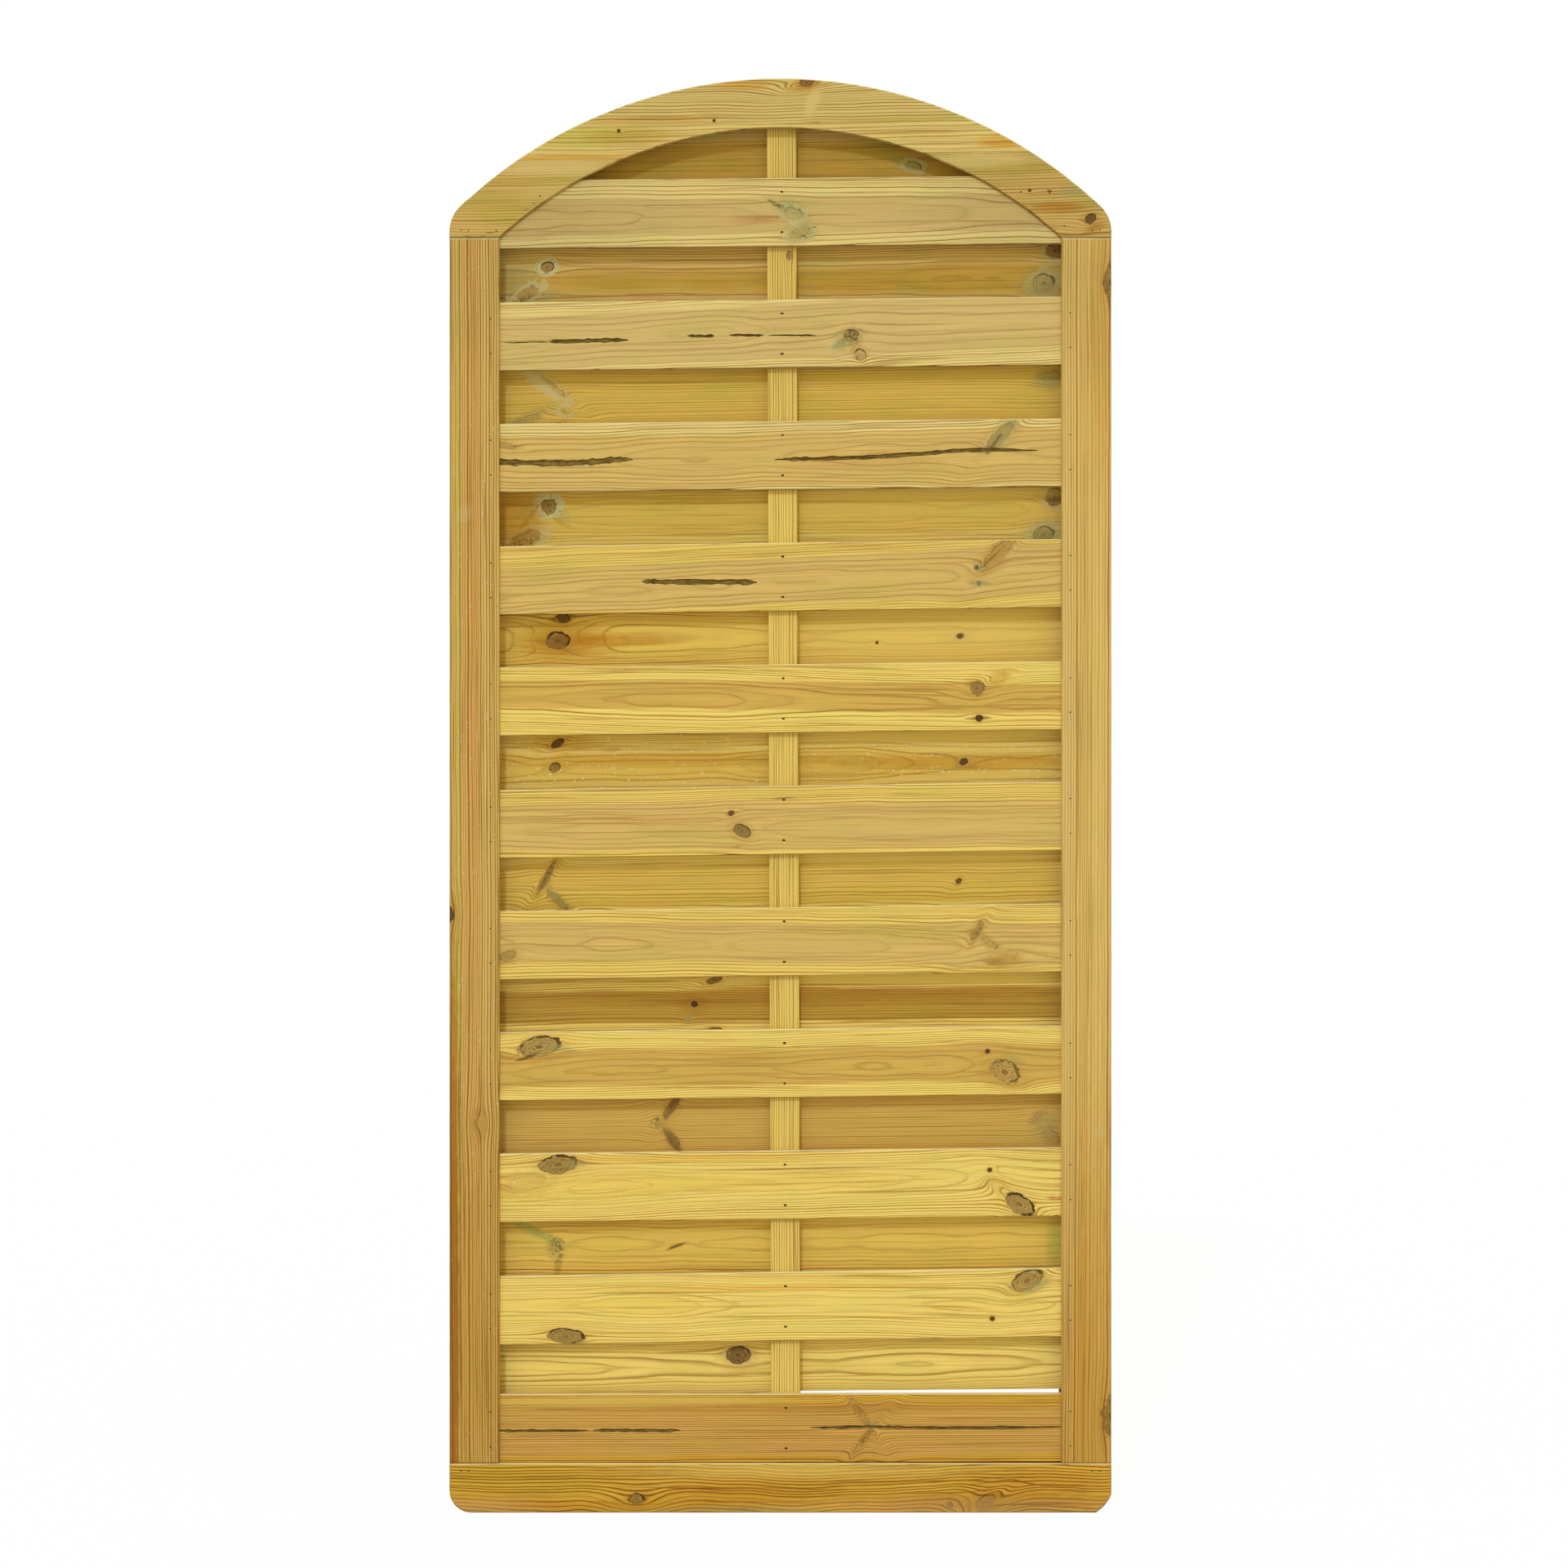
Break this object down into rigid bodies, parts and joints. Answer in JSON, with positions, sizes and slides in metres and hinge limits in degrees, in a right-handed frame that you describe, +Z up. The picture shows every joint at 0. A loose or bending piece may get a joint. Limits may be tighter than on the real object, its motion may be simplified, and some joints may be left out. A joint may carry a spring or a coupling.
{
  "type": "privacy fence panel",
  "caption": "Arched timber privacy fence panel: slats fixed alternately to the front and rear inside a grooved frame, with a centre batten.",
  "frame": {"origin": "middle of the foot of the bottom rail, at half the frame's depth", "axes": "+X to the right along the width seen from the front, +Y towards the rear through the thickness, +Z up to the crown of the arch"},
  "size_m": [0.9, 0.044, 1.95],
  "materials": {
    "frame_timber": "planed, pressure-treated softwood",
    "arch_timber": "planed, pressure-treated softwood",
    "batten_timber": "planed, pressure-treated softwood",
    "slat_timber": "planed, pressure-treated softwood",
    "brad_steel": "dulled wire"
  },
  "bodies": {
    "root": {"arch_crown_board": "arch_timber", "arch_left_foot": "arch_timber", "arch_right_foot": "arch_timber", "arch_shoulder_board": "arch_timber", "bottom_rail": "frame_timber", "centre_batten": "batten_timber", "front_batten_brads": "brad_steel", "front_cheek_brads": "brad_steel", "front_slat_01": "slat_timber", "front_slat_02": "slat_timber", "front_slat_03": "slat_timber", "front_slat_04": "slat_timber", "front_slat_05": "slat_timber", "front_slat_06": "slat_timber", "front_slat_07": "slat_timber", "front_slat_08": "slat_timber", "front_slat_09": "slat_timber", "front_slat_10": "slat_timber", "front_slat_11": "slat_timber", "joint_brads": "brad_steel", "left_stile": "frame_timber", "rear_batten_brads": "brad_steel", "rear_cheek_brads": "brad_steel", "rear_slat_01": "slat_timber", "rear_slat_02": "slat_timber", "rear_slat_03": "slat_timber", "rear_slat_04": "slat_timber", "rear_slat_05": "slat_timber", "rear_slat_06": "slat_timber", "rear_slat_07": "slat_timber", "rear_slat_08": "slat_timber", "rear_slat_09": "slat_timber", "rear_slat_10": "slat_timber", "rear_slat_11": "slat_timber", "right_stile": "frame_timber"}
  },
  "joints": []
}
